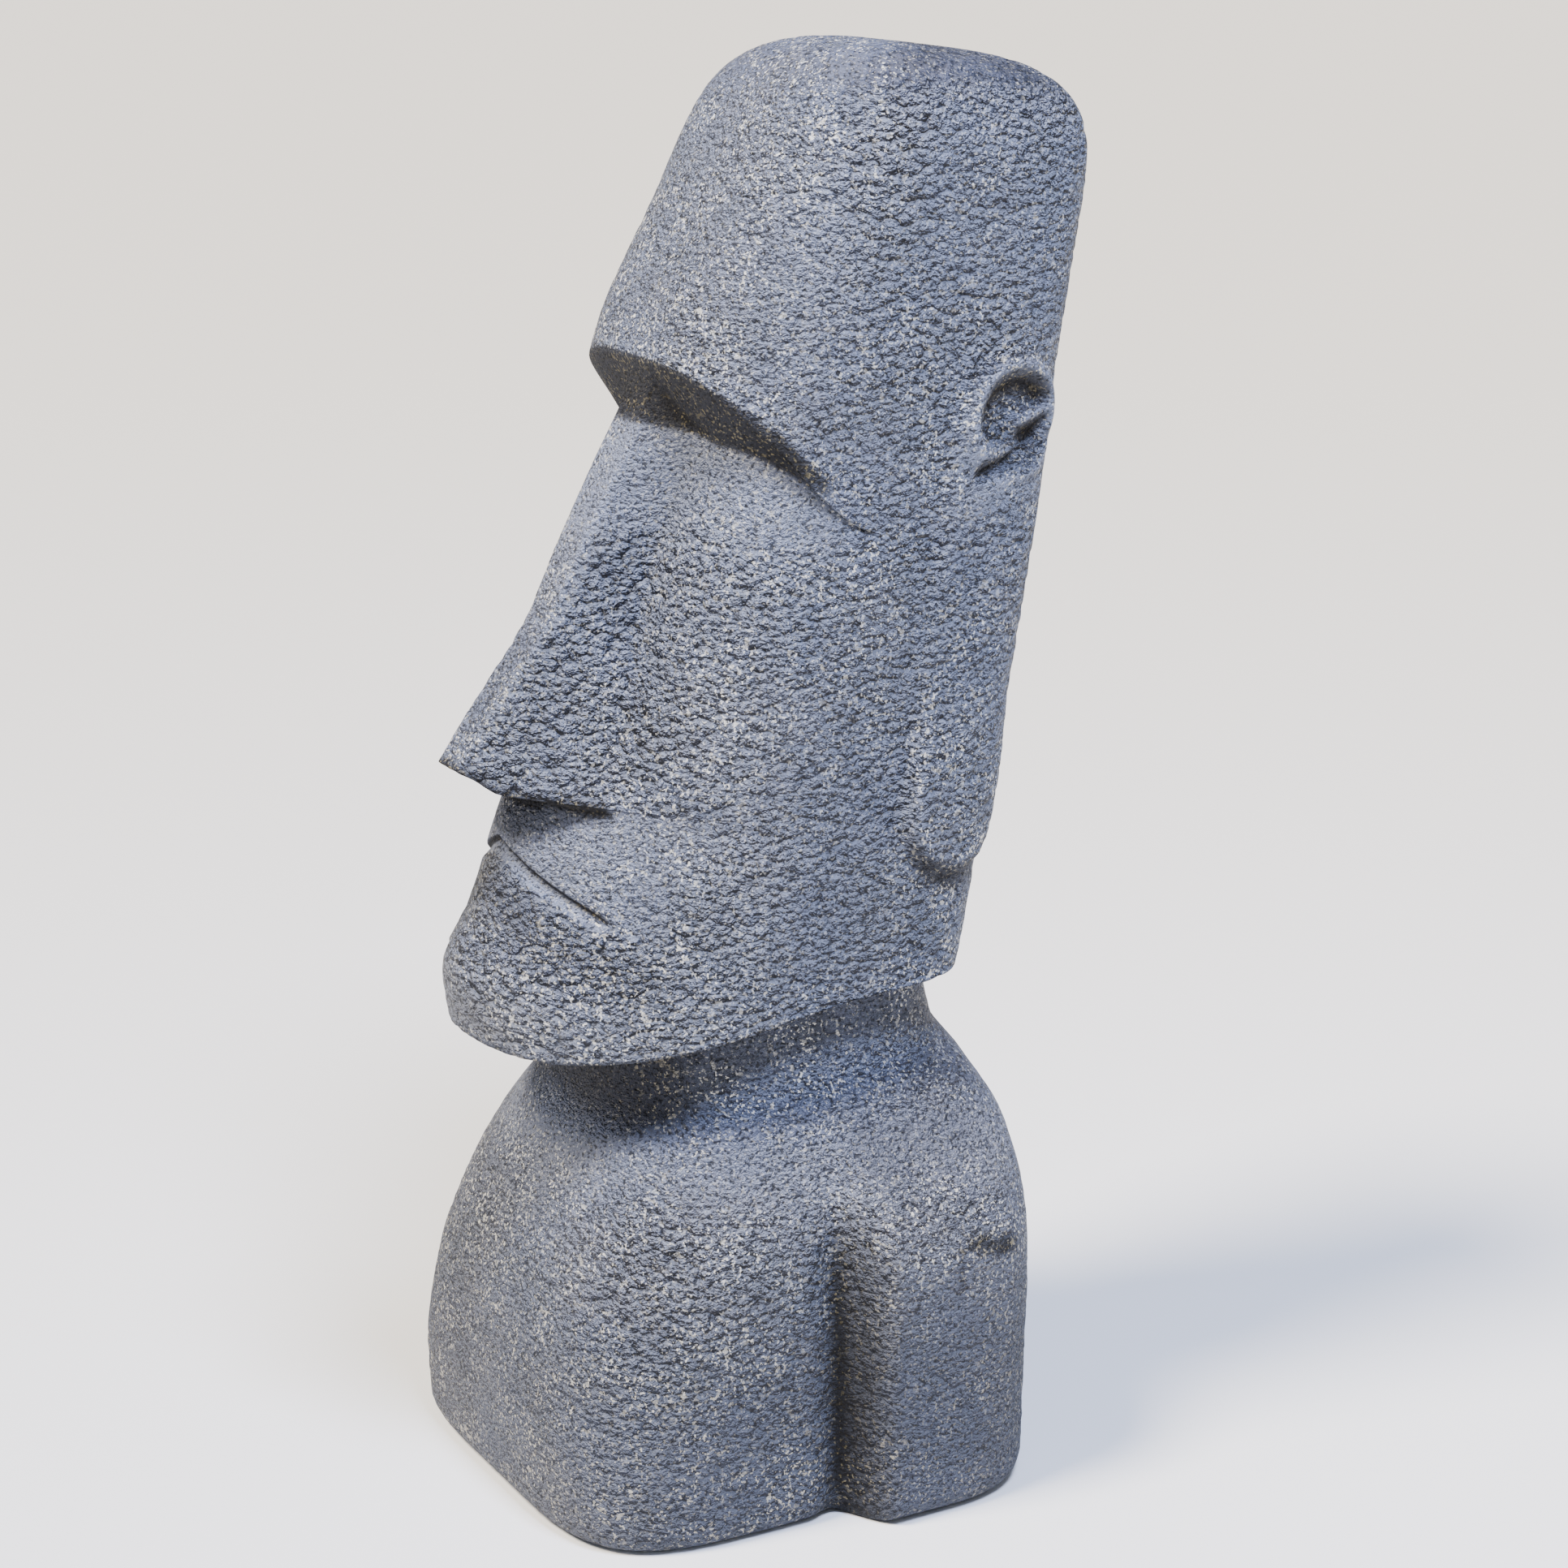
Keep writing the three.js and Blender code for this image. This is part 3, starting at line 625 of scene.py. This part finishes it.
def statue_mesh(name):
    """Stitches the grid into quads, closes the crown and the flat underside with fans,
    and stores the wear and painted-light maps as point attributes."""
    skin, maps = stone_skin()
    rows, around = skin.shape[:2]
    lowest = skin[0].mean(0)
    highest = skin[-1].mean(0)
    points = np.concatenate([skin.reshape(-1, 3), [lowest], [highest]])
    points[:, 1] += MIDDLE_SHIFT
    index = np.arange(rows * around).reshape(rows, around)
    beside = np.roll(index, -1, 1)
    quads = np.stack([index[:-1], beside[:-1], beside[1:], index[1:]], -1).reshape(-1, 4)
    ends = np.full(around, rows * around)
    floor_fan = np.stack([ends, beside[0], index[0]], -1)
    crown_fan = np.stack([ends + 1, index[-1], beside[-1]], -1)
    mesh = bpy.data.meshes.new(name)
    mesh.from_pydata(points * MM, [], quads.tolist() + floor_fan.tolist() + crown_fan.tolist())
    mesh.polygons.foreach_set("use_smooth", np.ones(len(mesh.polygons), bool))
    for label, field in maps:
        values = np.concatenate([field.ravel(), field[0].mean(keepdims=True),
                                 field[-1].mean(keepdims=True)])
        mesh.attributes.new(label, "FLOAT", "POINT").data.foreach_set("value", values)
    mesh.update()
    statue = bpy.data.objects.new(name, mesh)
    bpy.context.scene.collection.objects.link(statue)
    return statue


# ---- material --------------------------------------------------------------------------

def linear(hex_colour):
    """An sRGB hex colour as linear red, green, blue and alpha."""
    channels = [int(hex_colour[i:i + 2], 16) / 255 for i in (1, 3, 5)]
    curve = [c / 12.92 if c <= 0.04045 else ((c + 0.055) / 1.055) ** 2.4 for c in channels]
    return (*curve, 1.0)


def add_node(tree, kind, settings=None, **inputs):
    """Adds a node. settings are its properties; inputs are socket values or the sockets
    that feed them, with spaces in a socket's name written as underscores."""
    node = tree.nodes.new(kind)
    for key, value in (settings or {}).items():
        setattr(node, key, value)
    for key, value in inputs.items():
        slot = int(key[1:]) if key[0] == "_" else key.replace("_", " ")
        if isinstance(value, bpy.types.NodeSocket):
            tree.links.new(value, node.inputs[slot])
        else:
            node.inputs[slot].default_value = value
    return node


def cast_stone():
    """Dark cast stone: cement and basalt grit poured in a mould with a coarse grain,
    stained blue-grey and rubbed back with a pale wash. To the eye: dull blue-grey lumps
    about 9 mm across with thin black creases, and cream flecks where the wash caught. The
    colour also holds painted light: pale highlights on the lumps' upper sides, on edges and
    folds, and painted shade under the lumps, in hollows and under overhangs."""
    material = bpy.data.materials.new("cast_stone_poured_stained")
    material.use_nodes = True
    tree = material.node_tree
    tree.nodes.clear()

    def add(kind, settings=None, **inputs):
        return add_node(tree, kind, settings, **inputs)

    def mix(factor, a, b):
        return add("ShaderNodeMix", {"data_type": "RGBA"}, _0=factor, _6=a, _7=b).outputs[2]

    def reckon(operation, a, b, clamp=False):
        return add("ShaderNodeMath", {"operation": operation, "use_clamp": clamp},
                   _0=a, _1=b).outputs[0]

    def noise(size_mm, detail, vector):
        return add("ShaderNodeTexNoise", Vector=vector, Scale=1 / (size_mm * MM),
                   Detail=detail).outputs["Fac"]

    def ramp(value, low, high):
        return add("ShaderNodeMapRange", {"interpolation_type": "SMOOTHSTEP"},
                   Value=value, From_Min=low, From_Max=high).outputs[0]

    place = add("ShaderNodeTexCoord").outputs["Object"]
    rough, shade_and_grime, rubbed_and_highlit, wash = (
        add("ShaderNodeAttribute", {"attribute_name": label}).outputs["Fac"]
        for label in ("rough", "shade_and_grime", "rubbed_and_highlit", "wash"))

    def place_sum(operation, a, **inputs):
        return add("ShaderNodeVectorMath", {"operation": operation}, _0=a, **inputs).outputs[0]

    # Lumps of the moulded grain 8.5 mm apart, wider than tall and bent by a slower noise so
    # that none is round, with grit of 3.6 mm and pits of 1.6 mm on them.
    flat = place_sum("MULTIPLY", place, _1=(1, 1, 1.3))
    drift = add("ShaderNodeTexNoise", Vector=place, Scale=1 / (11 * MM),
                Detail=3.0).outputs["Color"]
    bent = place_sum("ADD", flat, _1=place_sum("SCALE", drift, Scale=7 * MM))
    distance = add("ShaderNodeTexVoronoi", Vector=bent,
                   Scale=1 / (8.5 * MM)).outputs["Distance"]
    lump = reckon("SUBTRACT", 1.0, reckon("MULTIPLY", distance, distance))
    grit = noise(3.6, 3.0, bent)
    pits = noise(1.6, 2.0, place)
    relief = reckon("MULTIPLY", reckon("MULTIPLY", lump, 0.6), rough)
    relief = reckon("ADD", relief, reckon("MULTIPLY", grit, 0.5))
    relief = reckon("ADD", relief, reckon("MULTIPLY", pits, 0.14))
    bumpy = add("ShaderNodeBump", Strength=1.0, Distance=18 * MM, Height=relief).outputs[0]

    # How far the grain turns the skin up, positive, or down, negative.
    def upward(normal):
        own = add("ShaderNodeVectorTransform", {"vector_type": "NORMAL", "convert_from": "WORLD",
                                                "convert_to": "OBJECT"}, Vector=normal).outputs[0]
        return add("ShaderNodeSeparateXYZ", Vector=own).outputs[2]

    smooth = add("ShaderNodeNewGeometry").outputs["Normal"]
    raised = reckon("SUBTRACT", upward(bumpy), upward(smooth))

    # Stain: neutral and blue greys in clouds 150 mm across, mottled darker every 13 mm
    # and in drifts of 60 mm; paler where the cast is rubbed, and painted highlights on edges,
    # the ear's folds and the mouth's lower bevel.
    clouds = ramp(noise(150, 3.0, place), 0.38, 0.62)
    body = mix(clouds, linear("#5a5a64"), linear("#545b72"))
    mottle = ramp(noise(13, 4.0, place), 0.42, 0.66)
    body = mix(reckon("MULTIPLY", mottle, 0.3), body, linear("#343842"))
    shade = ramp(noise(60, 4.0, place), 0.45, 0.66)
    body = mix(reckon("MULTIPLY", shade, 0.55), body, linear("#2c2e38"))
    body = mix(reckon("MULTIPLY", rubbed_and_highlit, 0.8), body, linear("#8f97ad"))

    # Painted highlight, pale and blue, on the sides of the lumps that the bump turns up, and
    # painted shade, near-black, on the sides it turns down, less of it on level faces.
    painted_lit_tops = reckon("MULTIPLY", ramp(raised, 0.02, 0.34), 0.66)
    body = mix(painted_lit_tops, body, linear("#959dae"))
    under = reckon("MULTIPLY", ramp(reckon("MULTIPLY", raised, -1.0), 0.0, 0.3),
                   reckon("ADD", reckon("MULTIPLY", rough, 0.72), 0.15))
    level = ramp(upward(smooth), 0.5, 0.95)
    under = reckon("MULTIPLY", under, reckon("SUBTRACT", 1.0, level))
    body = mix(under, body, linear("#15161d"))

    # Near-black in the creases between the lumps and in small pits.
    deep = reckon("MULTIPLY", reckon("SUBTRACT", 1.0, ramp(lump, 0.42, 0.7)), 0.45)
    pitted = reckon("SUBTRACT", 1.0, ramp(grit, 0.37, 0.46))
    held = reckon("MULTIPLY", reckon("MAXIMUM", reckon("MULTIPLY", deep, rough), pitted), 0.8)
    body = mix(held, body, linear("#131418"))

    # Painted shade, near-black brown, under the overhangs, in the hollows and on faces turned
    # down, with the brown grime and stains of the same map.
    body = mix(reckon("MULTIPLY", shade_and_grime, 0.97), body, linear("#12100f"))

    # Cream wash: flecks 1 to 5 mm wide in drifts 34 mm across, yellower over the painted shade
    # and grime.
    fine = ramp(noise(3.0, 2.0, place), 0.60, 0.65)
    coarse = ramp(noise(5.5, 3.0, place), 0.60, 0.67)
    caught = ramp(noise(34, 3.0, place), 0.36, 0.60)
    share = reckon("ADD", reckon("MULTIPLY", reckon("MULTIPLY", caught, wash), 1.3), 0.22)
    fleck = reckon("MAXIMUM", reckon("MULTIPLY", fine, share, True),
                   reckon("MULTIPLY", reckon("MULTIPLY", coarse, caught), wash))
    clean = reckon("SUBTRACT", 1.0, reckon("MULTIPLY", shade_and_grime, 0.6))
    cream = mix(shade_and_grime, linear("#ece9df"), linear("#a59668"))
    body = mix(reckon("MULTIPLY", fleck, clean), body, cream)

    # Half matt, and duller where the painted shade and grime lie.
    dull = reckon("ADD", reckon("MULTIPLY", shade_and_grime, 0.35), 0.55)
    shader = add("ShaderNodeBsdfPrincipled", Base_Color=body, Roughness=dull,
                 Specular_IOR_Level=0.25, Normal=bumpy)
    add("ShaderNodeOutputMaterial", Surface=shader.outputs[0])
    return material


def pale_floor():
    """Matt white studio paper."""
    material = bpy.data.materials.new("studio_paper_matt")
    material.use_nodes = True
    shader = material.node_tree.nodes["Principled BSDF"]
    shader.inputs["Base Color"].default_value = linear("#f4f4f4")
    shader.inputs["Roughness"].default_value = 0.9
    return material


# ---- studio ----------------------------------------------------------------------------

def studio_floor():
    """A wide level square at the statue's foot."""
    half = 40.0
    corners = [(-half, -half, 0), (half, -half, 0), (half, half, 0), (-half, half, 0)]
    mesh = bpy.data.meshes.new("studio_floor")
    mesh.from_pydata(corners, [], [(0, 1, 2, 3)])
    floor = bpy.data.objects.new("studio_floor", mesh)
    floor.data.materials.append(pale_floor())
    bpy.context.scene.collection.objects.link(floor)


def softbox(name, azimuth, elevation, distance, size, power, colour, target):
    """A square area light that faces the target from a bearing round the statue, where
    bearing 0 is in front of the face and 90 is on the statue's left."""
    a, e = math.radians(azimuth), math.radians(elevation)
    away = Vector((math.sin(a) * math.cos(e), -math.cos(a) * math.cos(e), math.sin(e)))
    lamp = bpy.data.lights.new(name, "AREA")
    lamp.size = size
    lamp.energy = power
    lamp.color = linear(colour)[:3]
    light = bpy.data.objects.new(name, lamp)
    light.location = target + away * distance
    light.rotation_euler = (-away).to_track_quat("-Z", "Y").to_euler()
    bpy.context.scene.collection.objects.link(light)


def daylight(name, azimuth, elevation, strength, spread, colour):
    """A soft sun, as from a lit ceiling: bearing as for a softbox, spread in degrees."""
    a, e = math.radians(azimuth), math.radians(elevation)
    away = Vector((math.sin(a) * math.cos(e), -math.cos(a) * math.cos(e), math.sin(e)))
    lamp = bpy.data.lights.new(name, "SUN")
    lamp.angle = math.radians(spread)
    lamp.energy = strength
    lamp.color = linear(colour)[:3]
    light = bpy.data.objects.new(name, lamp)
    light.rotation_euler = (-away).to_track_quat("-Z", "Y").to_euler()
    bpy.context.scene.collection.objects.link(light)


def studio_lights():
    """A lit ceiling as the key, a cool softbox from the statue's left, and a pale room."""
    low, high = cad_box
    chest = Vector((0, 0, (low[2] + high[2]) / 2))
    daylight("ceiling", 0, 56, 7.2, 18, "#fff3e2")
    softbox("cool_side", 88, 60, 3.4, 1.0, 260, "#cfdcff", chest)
    world = bpy.data.worlds.new("pale_room")
    world.use_nodes = True
    background = world.node_tree.nodes["Background"]
    background.inputs["Color"].default_value = linear("#e3e9f8")
    background.inputs["Strength"].default_value = 0.4
    bpy.context.scene.world = world


def studio_camera():
    """A short telephoto lens at head height, 62 degrees round from the face, looking
    down a little and aimed just right of the statue's axis."""
    bearing = math.radians(62)
    aim_height, camera_height, away = 0.60, 1.37, 2.80
    middle = Vector((0, MIDDLE_SHIFT * MM, aim_height))
    place = Vector((math.sin(bearing) * away, -math.cos(bearing) * away, camera_height))
    place.y += MIDDLE_SHIFT * MM
    forward = (middle - place).normalized()
    right = forward.cross(Vector((0, 0, 1))).normalized()
    down = forward.cross(right)
    aim = middle + right * 0.0547 + down * 0.013
    camera_data = bpy.data.cameras.new("camera")
    camera_data.sensor_width = 36.0
    camera_data.lens = 79.2
    camera = bpy.data.objects.new("camera", camera_data)
    camera.location = place
    camera.rotation_euler = (aim - place).to_track_quat("-Z", "Y").to_euler()
    bpy.context.scene.collection.objects.link(camera)
    bpy.context.scene.camera = camera


# ---- put together ------------------------------------------------------------------------

studio_camera()
studio_floor()
studio_lights()

statue = statue_mesh("stone_skin")
statue.data.materials.append(cast_stone())
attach(statue, "root")
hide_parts("moai_statue")
